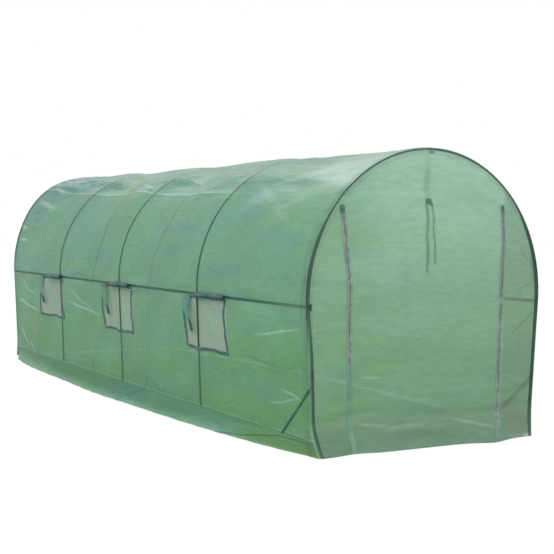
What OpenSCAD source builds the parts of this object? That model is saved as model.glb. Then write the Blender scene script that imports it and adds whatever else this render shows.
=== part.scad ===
// Polytunnel greenhouse: five round-topped tube hoops joined by a ridge rail, side rails and
// bottom rails, under a woven film cover with netted side windows and a zipped front doorway.
// X runs across, Y runs from the front end (-Y) to the rear, Z is up, and the ground is z = 0.

/* [Tunnel] */
// Distance from the first hoop to the last, centre to centre
tunnel_length = 6000; // [4500:100:8000]
// Bend radius of a hoop, to the middle of its tube
arch_r = 985; // [850:5:1400]
// Height of the centre of the bend above the ground
arch_centre_z = 1000; // [800:10:1400]
// Angle by which each leg leans in towards its foot
leg_lean = 3; // [1:0.5:6]

/* [Frame] */
// Diameter of the hoop and rail tubes
tube_d = 25; // [16:1:40]
// Height of the bottom rails' centres above the ground
bottom_rail_z = 95; // [60:5:200]
// Diameter of the corner braces
brace_d = 19; // [12:1:25]
// Height above the ground at which a corner brace meets its leg
brace_up = 405; // [250:5:600]
// Distance from the hoop at which a corner brace meets the bottom rail
brace_along = 330; // [200:5:500]
// Length, height and thickness of the straps that join rails to hoops
strap_length = 110; // [70:5:200]
strap_height = 20; // [12:1:24]
strap_thickness = 3; // [2:0.5:5]

/* [Cover] */
// Thickness of the cover
film = 2; // [1:0.5:4]
// Clearance between the tubes and the cover
film_gap = 0.5; // [0.3:0.1:2]
// How far the hem stands out at the middle of a long side
side_flare = 215; // [80:5:300]
// How far the hem stands out at the middle of an end
end_flare = 150; // [60:5:250]
// How far the hem stands out at the corners
corner_flare = 40; // [10:5:60]

/* [Windows] */
// Size of the netted opening
window_w = 620; // [300:10:900]
window_h = 360; // [150:10:500]
// How far the opening's upper edge lies below the middle of the side rail
window_drop = 36; // [36:1:100]
// Distance between window centres
window_pitch = 1690; // [1100:10:1800]
// How far the middle window sits behind the middle of the tunnel
window_shift = 70; // [0:10:200]
// Width and thickness of the fastening tape around a window
tape_w = 25; // [15:1:30]
tape_thickness = 1.5; // [1:0.5:3]
// Thickness of the window netting
net_thickness = 1; // [0.5:0.5:2]
// Diameter of a rolled-up window flap
roll_d = 34; // [24:1:60]

/* [Door] */
// Distance between the two door zips, centre to centre
door_w = 1340; // [800:10:1500]
// How far the zips' upper ends lie below the ridge
door_drop = 400; // [360:10:700]
// Width and thickness of a zip tape
zip_w = 36; // [20:1:60]
zip_thickness = 2.5; // [1:0.5:5]
// Width, height and thickness of the reinforcing patch over the end of a zip
patch_w = 52; // [40:1:90]
patch_h = 55; // [30:1:120]
patch_thickness = 2; // [1:0.5:4]
// How far the lower edge of the door tie's patch lies below the ridge
tie_drop = 345; // [200:5:400]
// Length and width of the tie's ribbons
tie_length = 400; // [200:10:600]
tie_w = 22; // [12:1:40]
// Clearance between the ends of pieces that meet
joint_gap = 0.3; // [0.2:0.1:1]

/* [Hidden] */
$fn = 64;

tube_colour = "#3f5546";
strap_colour = "#2f3a34";
film_colour = "#84ab93";
net_colour = "#9fb0a8";
tape_colour = "#5d6a80";
zip_colour = "#5f7068";
patch_colour = "#3c5a46";

bays = 4;
roof_panels = 8;
windows = 3;
skirt_steps = 12;
tube_r = tube_d / 2;
bay = tunnel_length / bays;
hoop_ys = [for (i = [0:bays]) (i - bays / 2) * bay];
window_ys = [for (i = [0:windows - 1]) (i - (windows - 1) / 2) * window_pitch + window_shift];

// The bend runs on below its centre until it has turned by the lean, and the leg goes on straight
arch_end_x = arch_r * cos(leg_lean);
arch_end_z = arch_centre_z - arch_r * sin(leg_lean);
function leg_x(z) = arch_end_x - (arch_end_z - z) * tan(leg_lean);

// Distances from the middle of a tube to the faces of the cover, and the cover's own outline
film_in = tube_r + film_gap;
film_out = film_in + film;
function film_x(z, out) = leg_x(z) + out / cos(leg_lean);
cover_top_z = arch_centre_z - (arch_r + film_out) * sin(leg_lean);
end_in_y = tunnel_length / 2 + film_in;
end_out_y = end_in_y + film;
hem_x = film_x(bottom_rail_z, film_out);
window_top_z = arch_end_z - window_drop;
window_sill_z = window_top_z - window_h;
ridge_z = arch_centre_z + arch_r + film_out;
door_h = ridge_z - door_drop;
tie_z = ridge_z - tie_drop;
reach = 4 * arch_r;

// Everything on a side is made on the right and mirrored to the left
module on_side(side) {
    mirror([side < 0 ? 1 : 0, 0, 0]) children();
}

// A flat outline drawn in X and Z, as deep as it is told along Y from y
module upright(y, depth) {
    translate([0, y + depth, 0]) rotate([90, 0, 0]) linear_extrude(depth) children();
}

// A board in the plane of the leaning side wall, between two heights and two depths
module side_board(y, length, low, high, inner, outer) {
    upright(y, length) polygon([
        [film_x(low, inner), low], [film_x(low, outer), low],
        [film_x(high, outer), high], [film_x(high, inner), high]
    ]);
}

module rod(from, to, d) {
    v = to - from;
    translate(from) rotate([0, acos(v[2] / norm(v)), atan2(v[1], v[0])]) cylinder(d = d, h = norm(v));
}

module hoop_arch(i) {
    color(tube_colour) translate([0, hoop_ys[i], arch_centre_z]) rotate([90, 0, 0])
        rotate([0, 0, -leg_lean]) rotate_extrude(angle = 180 + 2 * leg_lean, $fn = 256)
        translate([arch_r, 0]) circle(d = tube_d);
}

// A leg between the end of the bend and the ground, cut level at its foot
module leg(y, d) {
    intersection() {
        rod([leg_x(-tube_d), y, -tube_d], [arch_end_x, y, arch_end_z], d);
        translate([0, y - tube_d, 0]) cube([reach, 2 * tube_d, reach]);
    }
}

module hoop_legs(side) {
    color(tube_colour) on_side(side) for (y = hoop_ys) leg(y, tube_d);
}

// One tube in each bay, with its ends against the hoops
module rail(x, z) {
    color(tube_colour) for (i = [0:bays - 1])
        rod([x, hoop_ys[i] + tube_r + joint_gap, z], [x, hoop_ys[i + 1] - tube_r - joint_gap, z], tube_d);
}

// A flat strap across each hoop on its inner side, cut off flush at the end hoops
module straps(x, z, tilt) {
    color(strap_colour) for (y = hoop_ys)
        intersection() {
            translate([x, y, z]) rotate([0, tilt, 0])
                translate([-tube_r - joint_gap - strap_thickness, -strap_length / 2, -strap_height / 2])
                cube([strap_thickness, strap_length, strap_height]);
            translate([-reach, -tunnel_length / 2 - tube_r, -reach])
                cube([2 * reach, tunnel_length + tube_d, 2 * reach]);
        }
}

module side_rail(side) {
    on_side(side) rail(arch_end_x, arch_end_z);
}

module bottom_rail(side) {
    on_side(side) rail(leg_x(bottom_rail_z), bottom_rail_z);
}

module ridge_rail() {
    rail(0, arch_centre_z + arch_r);
}

module ridge_straps() {
    straps(0, arch_centre_z + arch_r, -90);
}

module side_straps() {
    for (side = [-1, 1]) on_side(side) straps(arch_end_x, arch_end_z, leg_lean);
}

module bottom_straps() {
    for (side = [-1, 1]) on_side(side) straps(leg_x(bottom_rail_z), bottom_rail_z, leg_lean);
}

// A brace from each corner leg down to the bottom rail, shaped to fit both tubes
module corner_braces() {
    fit_d = tube_d + 2 * joint_gap;
    rail_x = leg_x(bottom_rail_z);
    color(tube_colour) for (side = [-1, 1], end = [-1, 1]) on_side(side) difference() {
        rod([leg_x(brace_up), end * tunnel_length / 2, brace_up],
            [rail_x, end * (tunnel_length / 2 - brace_along), bottom_rail_z], brace_d);
        leg(end * tunnel_length / 2, fit_d);
        rod([rail_x, -tunnel_length / 2, bottom_rail_z], [rail_x, tunnel_length / 2, bottom_rail_z], fit_d);
    }
}

// The roof is made in strips along the tunnel, numbered from the right side to the left
module roof_cover(i) {
    step = (180 + 2 * leg_lean) / roof_panels;
    start = i * step - leg_lean;
    color(film_colour) translate([0, 0, arch_centre_z]) upright(-end_in_y, 2 * end_in_y) intersection() {
        difference() {
            circle(r = arch_r + film_out, $fn = 128);
            circle(r = arch_r + film_in, $fn = 128);
        }
        polygon([[0, 0], reach * [cos(start), sin(start)], reach * [cos(start + step), sin(start + step)]]);
    }
}

module side_cover(side) {
    color(film_colour) on_side(side) difference() {
        side_board(-end_in_y, 2 * end_in_y, bottom_rail_z, cover_top_z, film_in, film_out);
        for (y = window_ys)
            side_board(y - window_w / 2, window_w, window_sill_z, window_top_z, film_in - film, film_out + film);
    }
}

module window_nets(side) {
    mid = film_in + film / 2;
    color(net_colour) on_side(side) for (y = window_ys)
        side_board(y - window_w / 2, window_w, window_sill_z, window_top_z,
            mid - net_thickness / 2, mid + net_thickness / 2);
}

module window_tapes(side) {
    inner = film_out + joint_gap;
    outer = inner + tape_thickness;
    color(tape_colour) on_side(side) for (y = window_ys) difference() {
        side_board(y - window_w / 2 - tape_w, window_w + 2 * tape_w,
            window_sill_z - tape_w, window_top_z + tape_w, inner, outer);
        side_board(y - window_w / 2, window_w, window_sill_z, window_top_z, inner - film, outer + film);
    }
}

// The window flaps, rolled up and held above the openings
module window_rolls(side) {
    z = window_top_z + roll_d / 2;
    x = film_x(z, film_out + 2 * joint_gap + tape_thickness + roll_d / 2);
    color(film_colour) on_side(side) for (y = window_ys)
        rod([x, y - window_w / 2 - tape_w, z], [x, y + window_w / 2 + tape_w, z], roll_d);
}

// The outline of an end of the cover above its skirt
module end_outline() {
    difference() {
        union() {
            translate([0, arch_centre_z]) circle(r = arch_r + film_out, $fn = 128);
            polygon([
                [-hem_x, bottom_rail_z], [hem_x, bottom_rail_z],
                [film_x(cover_top_z, film_out), cover_top_z], [-film_x(cover_top_z, film_out), cover_top_z]
            ]);
        }
        translate([-reach / 2, bottom_rail_z - reach]) square([reach, reach]);
        for (side = [-1, 1]) mirror([side < 0 ? 1 : 0, 0]) polygon([
            [hem_x, bottom_rail_z], [hem_x + reach, bottom_rail_z], [hem_x + reach, cover_top_z],
            [film_x(cover_top_z, film_out), cover_top_z]
        ]);
    }
}

// The part of the front end between two distances across and two heights
module front_piece(left, right, low, high) {
    color(film_colour) upright(-end_out_y, film) intersection() {
        end_outline();
        translate([left, low]) square([right - left, high - low]);
    }
}

module front_cover(side) {
    on_side(side) front_piece(door_w / 2, reach, 0, door_h);
}

module front_cover_top() {
    front_piece(-reach, reach, door_h, reach);
}

module door_panel() {
    slit = joint_gap;
    front_piece(-door_w / 2 + slit, door_w / 2 - slit, 0, door_h - slit);
}

module rear_cover() {
    color(film_colour) upright(end_in_y, film) end_outline();
}

// A flared strip of cover from the bottom rail to the ground, bowed out between its corners.
// side is its distance out, half its half length, and flare how far its middle stands out.
module skirt(side, half, flare) {
    ts = [for (i = [0:skirt_steps]) 2 * i / skirt_steps - 1];
    function out(t) = corner_flare + (flare - corner_flare) * cos(90 * t);
    // The film's thickness along the level, where it slopes out by that much
    function level(t) = film * norm([out(t), bottom_rail_z]) / bottom_rail_z;
    // A point of the strip, this far out from its inner upper edge
    function at(t, x, z) = [side - film + x, (half - film + x + (corner_flare - out(t)) * (z > 0 ? 0 : 1)) * t, z];
    points = [for (t = ts) each [
        at(t, level(t), bottom_rail_z), at(t, 0, bottom_rail_z), at(t, out(t), 0), at(t, out(t) + level(t), 0)
    ]];
    // The inner and outer faces are cut into triangles along the same slant, so the wall stays even
    sides = [for (i = [0:skirt_steps - 1], j = [0:3])
        let (a = 4 * i + j, b = 4 * i + (j + 1) % 4)
        each j == 3 ? [[a, b, a + 4], [b, b + 4, a + 4]] : [[a, b, b + 4], [a, b + 4, a + 4]]];
    last = 4 * skirt_steps;
    ends = [[0, 2, 1], [0, 3, 2], [last, last + 1, last + 2], [last, last + 2, last + 3]];
    color(film_colour) polyhedron(points, concat(sides, ends));
}

module side_skirt(side) {
    rotate([0, 0, side < 0 ? 180 : 0]) skirt(hem_x, end_out_y, side_flare);
}

module end_skirt(end) {
    rotate([0, 0, 90 * end]) skirt(end_out_y, hem_x, end_flare);
}

// Zips run up both edges of the doorway from the top of the skirt
module door_zips() {
    color(zip_colour) for (side = [-1, 1])
        translate([side * door_w / 2 - zip_w / 2, -end_out_y - joint_gap - zip_thickness, bottom_rail_z])
        cube([zip_w, zip_thickness, door_h - bottom_rail_z - joint_gap]);
}

module zip_patches() {
    color(patch_colour) for (side = [-1, 1])
        translate([side * door_w / 2 - patch_w / 2, -end_out_y - joint_gap - patch_thickness, door_h])
        cube([patch_w, patch_thickness, patch_h]);
}

// Two ribbons that hang from a sewn patch and tie up the rolled door
module door_tie() {
    color(patch_colour) {
        translate([-patch_w / 2, -end_out_y - joint_gap - patch_thickness, tie_z])
            cube([patch_w, patch_thickness, patch_h]);
        for (side = [-1, 1])
            translate([side * tie_w * 0.6 - tie_w / 2, -end_out_y - joint_gap - patch_thickness, tie_z - tie_length])
            cube([tie_w, patch_thickness, tie_length]);
    }
}

hoop_arch(0);  // hoop_arch_1
hoop_arch(1);  // hoop_arch_2
hoop_arch(2);  // hoop_arch_3
hoop_arch(3);  // hoop_arch_4
hoop_arch(4);  // hoop_arch_5
hoop_legs(-1);  // hoop_legs_left
hoop_legs(1);  // hoop_legs_right
ridge_rail();
side_rail(-1);  // side_rail_left
side_rail(1);  // side_rail_right
bottom_rail(-1);  // bottom_rail_left
bottom_rail(1);  // bottom_rail_right
ridge_straps();
side_straps();
bottom_straps();
corner_braces();
roof_cover(0);  // roof_cover_1
roof_cover(1);  // roof_cover_2
roof_cover(2);  // roof_cover_3
roof_cover(3);  // roof_cover_4
roof_cover(4);  // roof_cover_5
roof_cover(5);  // roof_cover_6
roof_cover(6);  // roof_cover_7
roof_cover(7);  // roof_cover_8
side_cover(-1);  // side_cover_left
side_cover(1);  // side_cover_right
rear_cover();
front_cover(-1);  // front_cover_left
front_cover(1);  // front_cover_right
front_cover_top();
door_panel();
side_skirt(-1);  // skirt_left
side_skirt(1);  // skirt_right
end_skirt(-1);  // skirt_front
end_skirt(1);  // skirt_rear
window_nets(-1);  // window_nets_left
window_nets(1);  // window_nets_right
window_tapes(-1);  // window_tapes_left
window_tapes(1);  // window_tapes_right
window_rolls(-1);  // window_rolls_left
window_rolls(1);  // window_rolls_right
door_zips();
zip_patches();
door_tie();
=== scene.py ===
import math
from functools import partial
import bpy
import numpy as np
from mathutils import Matrix, Vector


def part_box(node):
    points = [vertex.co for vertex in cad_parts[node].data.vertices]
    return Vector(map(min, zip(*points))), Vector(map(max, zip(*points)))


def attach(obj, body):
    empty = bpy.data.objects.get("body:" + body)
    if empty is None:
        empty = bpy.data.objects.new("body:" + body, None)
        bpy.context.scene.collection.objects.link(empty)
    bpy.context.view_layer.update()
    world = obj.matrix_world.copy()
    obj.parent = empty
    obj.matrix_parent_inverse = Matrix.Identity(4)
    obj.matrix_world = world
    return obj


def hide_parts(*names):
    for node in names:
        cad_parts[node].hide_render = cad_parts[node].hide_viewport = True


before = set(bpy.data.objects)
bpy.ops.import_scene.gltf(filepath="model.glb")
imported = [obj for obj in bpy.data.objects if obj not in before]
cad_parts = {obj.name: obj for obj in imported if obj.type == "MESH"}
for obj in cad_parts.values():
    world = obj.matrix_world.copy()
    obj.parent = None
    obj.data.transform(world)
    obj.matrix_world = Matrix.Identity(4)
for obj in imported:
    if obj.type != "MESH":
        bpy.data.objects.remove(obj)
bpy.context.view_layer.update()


def toLinear(hexColour):
    values = [int(hexColour[i:i + 2], 16) / 255 for i in (1, 3, 5)]
    return [v / 12.92 if v <= 0.04045 else ((v + 0.055) / 1.055) ** 2.4 for v in values] + [1.0]


# Adds one node. Its inputs come in order or by name, as values or as the outputs that feed them, and its
# settings by name. It gives back the output asked for, or the node when out is None.
def addNode(tree, kind, inputs=(), out=0, **settings):
    node = tree.nodes.new("ShaderNode" + kind)
    for key, value in settings.items():
        setattr(node, key, value)
    for key, value in inputs.items() if isinstance(inputs, dict) else enumerate(inputs):
        if isinstance(value, bpy.types.NodeSocket):
            tree.links.new(value, node.inputs[key])
        else:
            node.inputs[key].default_value = value
    return node if out is None else node.outputs[out]


def newMaterial(name):
    material = bpy.data.materials.new(name)
    material.use_nodes = True
    material.node_tree.nodes.clear()
    return material, partial(addNode, material.node_tree)


# The product of a few masks, or another joining of them. A mask that is given as a value and its limits is
# a smooth ramp between them.
def joined(add, masks, operation="MULTIPLY"):
    total = None
    for mask in masks:
        if isinstance(mask, tuple):
            mask = add("MapRange", mask, interpolation_type="SMOOTHSTEP")
        total = mask if total is None else add("Math", (total, mask), operation=operation)
    return total


def deselectAll():
    if bpy.context.object and bpy.context.object.mode != "OBJECT":
        bpy.ops.object.mode_set(mode="OBJECT")
    bpy.ops.object.select_all(action="DESELECT")


def pickOnly(piece):
    deselectAll()
    piece.select_set(True)
    bpy.context.view_layer.objects.active = piece


def nameIt(piece, name):
    piece.name = name
    piece.data.name = name
    return piece


def addModifier(piece, kind, **settings):
    pickOnly(piece)
    modifier = piece.modifiers.new(kind.lower(), kind)
    for key, value in settings.items():
        setattr(modifier, key, value)
    bpy.ops.object.modifier_apply(modifier=modifier.name)


def finishPiece(piece, material, smoothAngle=None, thick=0):
    if thick:
        addModifier(piece, "SOLIDIFY", thickness=thick, offset=0)
    piece.data.materials.clear()
    piece.data.materials.append(material)
    pickOnly(piece)
    if smoothAngle is None:
        bpy.ops.object.shade_smooth()
    else:
        bpy.ops.object.shade_smooth_by_angle(angle=math.radians(smoothAngle))
    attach(piece, "root")
    return piece


def joinPieces(pieces, name):
    deselectAll()
    for piece in pieces:
        piece.select_set(True)
    bpy.context.view_layer.objects.active = pieces[0]
    bpy.ops.object.join()
    return nameIt(bpy.context.object, name)


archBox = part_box("hoop_arch_1")
tubeRadius = (archBox[1].y - archBox[0].y) / 2
archCentre = archBox[1].z - archBox[1].x
archRadius = archBox[1].x - tubeRadius
hoopRows = sorted((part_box(n)[0].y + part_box(n)[1].y) / 2 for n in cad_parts
                  if n.startswith("hoop_arch"))
sideRail = (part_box("side_rail_left")[0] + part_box("side_rail_left")[1]) / 2
bottomRail = (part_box("bottom_rail_left")[0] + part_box("bottom_rail_left")[1]) / 2
lean = math.atan2(abs(sideRail.x) - abs(bottomRail.x), sideRail.z - bottomRail.z)
frontRow = hoopRows[0]
rearRow = hoopRows[-1]
halfBay = (hoopRows[1] - hoopRows[0]) / 2
filmGap = 0.0015                                 # film's middle outside the tube
filmOut = tubeRadius + filmGap
filmRadius = archRadius + filmOut
roofLength = filmRadius * (math.pi / 2 + lean)   # ridge to side rail, over the roof
sideLength = (sideRail.z - bottomRail.z) / math.cos(lean)
wallLength = roofLength + sideLength             # ridge to bottom rail
skirtLength = 0.235                              # bottom rail to hem
halfGirth = wallLength + skirtLength
wrapLength = filmOut * math.pi / 2               # round the end hoop to its end face
print("frame read: hoops at", [round(y, 3) for y in hoopRows], "lean", round(math.degrees(lean), 2))

camera = {
    "place": (-4.563, -8.574, 1.406),
    "heading": 31.07,     # degrees from the tunnel's length towards its right side
    "pitch": -2.35,
    "roll": 0.88,
    "lens": 68.8,
}
heading, pitch, roll = (math.radians(camera[k]) for k in ("heading", "pitch", "roll"))
forward = Vector((math.sin(heading) * math.cos(pitch), math.cos(heading) * math.cos(pitch),
                  math.sin(pitch)))
level = Vector((math.cos(heading), -math.sin(heading), 0))
upright = level.cross(forward)
across = level * math.cos(roll) + upright * math.sin(roll)
upward = upright * math.cos(roll) - level * math.sin(roll)
bpy.ops.object.camera_add()
viewer = nameIt(bpy.context.object, "viewer")
turned = Matrix((across, upward, -forward)).transposed().to_4x4()
viewer.matrix_world = Matrix.Translation(camera["place"]) @ turned
viewer.data.lens = camera["lens"]
viewer.data.sensor_width = 36
viewer.data.clip_end = 200
bpy.context.scene.camera = viewer
print("camera placed")

studio = {
    "floor": "#c4c7c1",
    "glow": 1.05,             # of the floor, as the eye sees it, and how much of it is that glow
    "share": 0.9,
    "inside": (0.17, 0.19),   # dull ground past the bottom rails at mid length, and less by this at the ends
    "sky": 0.64,              # light from all round
    "suns": {                 # strength, spread in degrees, and the way it shines
        "key_light": (2.6, 35, (0.6, 0.55, -0.78)),
        "front_light": (1.5, 60, (-0.15, 1.0, -0.5)),
        "rim_light": (0.22, 25, (-0.3, -1.0, -0.6)),
    },
}


# One where the eye sees a surface straight on, in a reflection or through film
def seenByEye(add):
    rays = add("LightPath", out=None).outputs
    return joined(add, [rays[r] for r in ("Is Camera Ray", "Is Glossy Ray", "Is Transmission Ray")],
                  "MAXIMUM")


floorMaterial, add = newMaterial("matt_white_floor")
# the ground inside the tunnel is only as bright as the light that reaches it
ground = add("SeparateXYZ", (add("TexCoord", out="Object"),), None).outputs
wide, long = (add("Math", (ground[axis],), operation="ABSOLUTE") for axis in "XY")
bow = add("Math", (add("Math", (long, 2.0), operation="POWER"), -studio["inside"][1] / rearRow ** 2,
                   abs(bottomRail.x) + studio["inside"][0]), operation="MULTIPLY_ADD")
beyond = [add("Math", pair, operation="GREATER_THAN") for pair in ((wide, bow), (long, rearRow))]
outside = joined(add, beyond, "MAXIMUM")
share = joined(add, [seenByEye(add), studio["share"], outside])
floorPaint = add("BsdfDiffuse", {"Color": toLinear(studio["floor"])})
floorGlow = add("Emission", {"Color": (1, 1, 1, 1), "Strength": studio["glow"]})
add("OutputMaterial", {"Surface": add("MixShader", (share, floorPaint, floorGlow))}, None)
deselectAll()
bpy.ops.mesh.primitive_plane_add(size=120)
floor = nameIt(bpy.context.object, "studio_floor")
floor.data.materials.append(floorMaterial)

world = bpy.data.worlds.new("studio_world")
bpy.context.scene.world = world
world.use_nodes = True
world.node_tree.nodes.clear()
add = partial(addNode, world.node_tree)
dim = add("Background", {"Color": (0.95, 0.98, 1, 1), "Strength": studio["sky"]})
white = add("Background", {"Color": (1, 1, 1, 1), "Strength": 1.0})
add("OutputWorld", {"Surface": add("MixShader", (seenByEye(add), dim, white))}, None)
for name, (strength, angle, towards) in studio["suns"].items():
    bpy.ops.object.light_add(type="SUN")
    lamp = nameIt(bpy.context.object, name)
    lamp.data.energy = strength
    lamp.data.angle = math.radians(angle)
    lamp.rotation_euler = Vector(towards).to_track_quat("-Z", "Y").to_euler()
bpy.context.scene.view_settings.view_transform = "Standard"
print("floor and lights placed")


# Reinforced polythene greenhouse film: two green skins over a laid net of tape yarn. Half the light
# that meets it is scattered on through. Where it lies on a tube, the tube's shade is painted in dark.
film = {
    "plain": "#80af9a",
    "yellower": "#85b288",
    "bluer": "#78a8a0",
    "grassLight": "#76ad74",     # painted green light of the grass, seen through the film low down
    "fadedAndHighlit": "#bfd9cc",      # creases, partly whitened and partly painted highlight; painted sheen on the ridge and painted light at the door end's top
    "shaded": "#5b92a2",     # over the rear bay's roof
    "rolled": "#4f8585",
    "milky": "#98a08f",      # the end sheets, scuffed
    "grassLightOnSkirt": "#6c9a58",     # the skirt by the door, lying on grass: the grass's green light painted through it
    "hole": "#cfeadb",       # light that goes straight through
    "onTube": "#0a5c43",     # painted shade of a tube behind: on a hoop or rail, then round an end hoop, then the rear hoop
    "onEndTube": "#365449",
    "onRearTube": "#2b4759",
    "through": 0.5,          # share of the light that is scattered through
    "clear": 0.06,           # share that goes straight through
    "roughness": 0.3,
    "refraction": 1.42,
    "yarn": 0.009,           # spacing of the laid net; 4 mm in the real film, drawn coarser so it shows
    "onHoop": 0.0148,        # half the width over which the film lies on a hoop, then on a rail
    "onRail": 0.0097,
    "sleeve": (0.055, 0.0026),   # the sleeve sewn round an end hoop: its width, and half its seam's
    "seam": (0.030, 0.0022),     # from the end hoop in to the end sheet's seam, and half the seam's width
}
# uneven patches: how many to a metre, how fine, how rough and how bent
filmClouds = {
    "patches": (2.4, 3.0, 0.55, 0.0),
    "bluePatches": (4.4, 2.0, 0.5, 0.4),
    "tintShare": (3.1, 3.0, 0.55, 0.0),
    "streaks": (34.0, 2.0, 0.6, 0.0),
    "crinkle": (9.0, 4.0, 0.5, 0.6),
    "ridgeSheen": (9.0, 3.0, 0.6, 0.5),
}
# crumples, as in film that was folded and pulled out again: how many to a metre, how deep, and the
# width of their pale edges, partly whitened and partly painted highlight
filmCrumples = ((2.6, 0.06, 0.035), (7.5, 0.018, 0.05))


# How far a value is from a mark
def apart(add, value, mark):
    return add("Math", (add("Math", (value, mark), operation="SUBTRACT"),), operation="ABSOLUTE")


# One within half of a line at this distance, nothing away from it
def nearLine(add, distance, half):
    return joined(add, [(distance, half * 0.6, half * 1.4, 1.0, 0.0)])


# One along a straight mark between two points of the cloth
def markBetween(add, place, start, end, half, tapers=True):
    run = (end[0] - start[0], end[1] - start[1], 0)
    longSquared = run[0] ** 2 + run[1] ** 2
    off = add("VectorMath", (place, (*start, 0)), operation="SUBTRACT")
    t = add("VectorMath", (off, tuple(r / longSquared for r in run)), "Value", operation="DOT_PRODUCT")
    t = add("Math", (t, 1.0), operation="MULTIPLY", use_clamp=True)
    nearest = add("VectorMath", {0: run, "Scale": t}, operation="SCALE")
    gap = add("VectorMath", (off, nearest), "Value", operation="DISTANCE")
    if not tapers:
        return nearLine(add, gap, half)
    taper = joined(add, [(add("Math", (t, 0.5), operation="PINGPONG"), 0.0, 0.35)])
    return joined(add, [(gap, 0.0, half * 1.8, 1.0, 0.0), taper])


# Girth of the cloth from the ridge to a height on a long wall
def wallGirth(z):
    return roofLength + (sideRail.z - z) / math.cos(lean)


cover = {
    "step": 0.020,        # mesh spacing
    "roofSag": 0.022,     # deepest sag between two hoops, over the roof
    "crown": 0.022,       # how far it stands up along the ridge between two hoops
    "slack": 0.062,       # how far it stands off at the rear end's left shoulder
    "tuck": 0.105,        # how far the right front corner is pushed in at the ground
    "sideSag": 0.008,
    "flare": 0.215,       # how far the hem stands out, mid length
    "foldLine": 0.727,    # old fold along the roof, from the ridge at mid length
    "foldSlope": 0.031,   # how much nearer the ridge it runs for each metre back
    "pulls": 90,          # short hard creases over the roof of each side
    "seed": 11,
}
# Single pale creases of the long cover, partly whitened and partly painted highlight, as girth and row at
# each end, then half the width and the strength
coverCreases = [
    ((wallGirth(0.71), -2.29), (wallGirth(0.82), -3.0), 0.007, 0.6),
    ((wallGirth(0.40), -2.62), (wallGirth(0.33), -2.98), 0.008, 0.7),
    ((wallGirth(0.26), -2.45), (wallGirth(0.36), -2.95), 0.006, 0.6),
    ((wallGirth(0.65), 3.0), (wallGirth(0.56), 2.1), 0.011, 0.9),
    ((wallGirth(0.90), 2.9), (wallGirth(0.70), 2.2), 0.012, 0.5),
    ((wallGirth(0.36), 2.88), (wallGirth(0.13), 2.55), 0.012, 1.0),
    ((wallGirth(0.24), 2.6), (wallGirth(0.06), 2.3), 0.010, 0.8),
    ((wallGirth(0.72), 1.42), (wallGirth(0.63), 0.40), 0.010, 0.8),
    ((wallGirth(0.86), 1.38), (wallGirth(0.66), 0.62), 0.010, 0.6),
    ((1.095, 3.05), (1.144, 2.78), 0.016, 1.0),
    ((1.263, 2.96), (1.273, 2.70), 0.014, 1.0),
    ((0.79, 2.97), (0.92, 2.12), 0.026, 0.7),
    ((0.60, 2.96), (0.69, 2.25), 0.018, 0.9),
    ((0.45, 2.9), (0.40, 2.2), 0.03, 0.7),
    ((0.50, -1.40), (1.14, -2.75), 0.030, 0.24),
    ((0.45, -1.45), (0.95, -2.85), 0.034, 0.16),
    ((0.40, -1.50), (0.80, -2.95), 0.040, 0.20),
    ((0.52, 0.7), (0.66, 0.15), 0.016, 0.6),
    ((0.44, -0.2), (0.64, -0.85), 0.016, 0.6),
]
# darker marks: the ties where the skirt is tied to the ground; painted shade in a dent and at a pinched
# corner in the front bay and along the line where the skirt is folded under near the door (from the
# bottom rail out); and the corner brace's painted shade
coverTies = [((wallGirth(0.20), row), (wallGirth(-0.14), row + 0.15)) for row in (-0.53, 0.67)]
coverDent = ((wallGirth(0.56), -1.97), (wallGirth(0.515), -3.0), 0.012)
coverPinch = ((1.34, -2.99), (1.76, -2.945), 0.006)
skirtTuck = [(0.235, -2.0), (0.185, -2.32), (0.06, -2.66), (0.045, -3.0)]
onBrace = ((wallGirth(0.43), -3.03), (wallGirth(0.095), -2.67), 0.0115, False)
# faint seams half way along two bays: the row on the wall, and how far each bows forward over the roof
coverSeams = ((-0.59, 0.13), (0.62, 0.11))
# Pale creases of the door end sheet, partly whitened and partly painted highlight, as x and z at each end,
# then half the width and the strength; the last is a painted glint at the bottom right corner
endCreases = [
    ((-0.64, 0.186), (-0.30, 0.145), 0.012, 0.4),
    ((-0.45, 0.13), (0.05, 0.15), 0.018, 0.35),
    ((0.12, 0.175), (0.62, 0.066), 0.012, 0.45),
    ((-0.62, 0.49), (-0.38, 0.47), 0.007, 0.45),
    ((0.60, 1.06), (0.88, 1.30), 0.008, 0.3),
    ((0.62, 0.60), (0.90, 0.86), 0.006, 0.3),
    ((0.74, 0.006), (0.90, 0.018), 0.012, 1.0),
]
# where an end sheet is in shade: pulled in at its top, and off the right of its hoop
endTugs = [
    ((-0.045, 1.99), (-0.06, 1.60), 0.034, 0.45),
    ((-0.055, 1.970), (0.01, 1.965), 0.012, 1.0),
    ((-0.55, 0.10), (0.35, 0.075), 0.030, 0.35),
    ((1.00, 1.12), (0.72, 1.00), 0.010, 0.45),
    ((1.00, 1.16), (0.70, 1.16), 0.009, 0.3),
    ((1.00, 1.14), (0.74, 1.36), 0.010, 0.45),
    ((0.96, 1.30), (0.68, 1.42), 0.009, 0.25),
    ((0.97, 1.02), (0.90, 1.34), 0.030, 0.7),
    ((-0.985, 0.415), (-0.94, 0.45), 0.011, 1.0),
    ((0.985, 0.905), (0.70, 0.705), 0.006, 0.9),
    ((1.05, 0.955), (0.62, 0.967), 0.0045, 0.7),
    ((-0.93, 1.11), (0.65, 0.968), 0.006, 0.13),
    ((1.00, 0.42), (0.655, 0.175), 0.006, 0.6),
]


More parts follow.
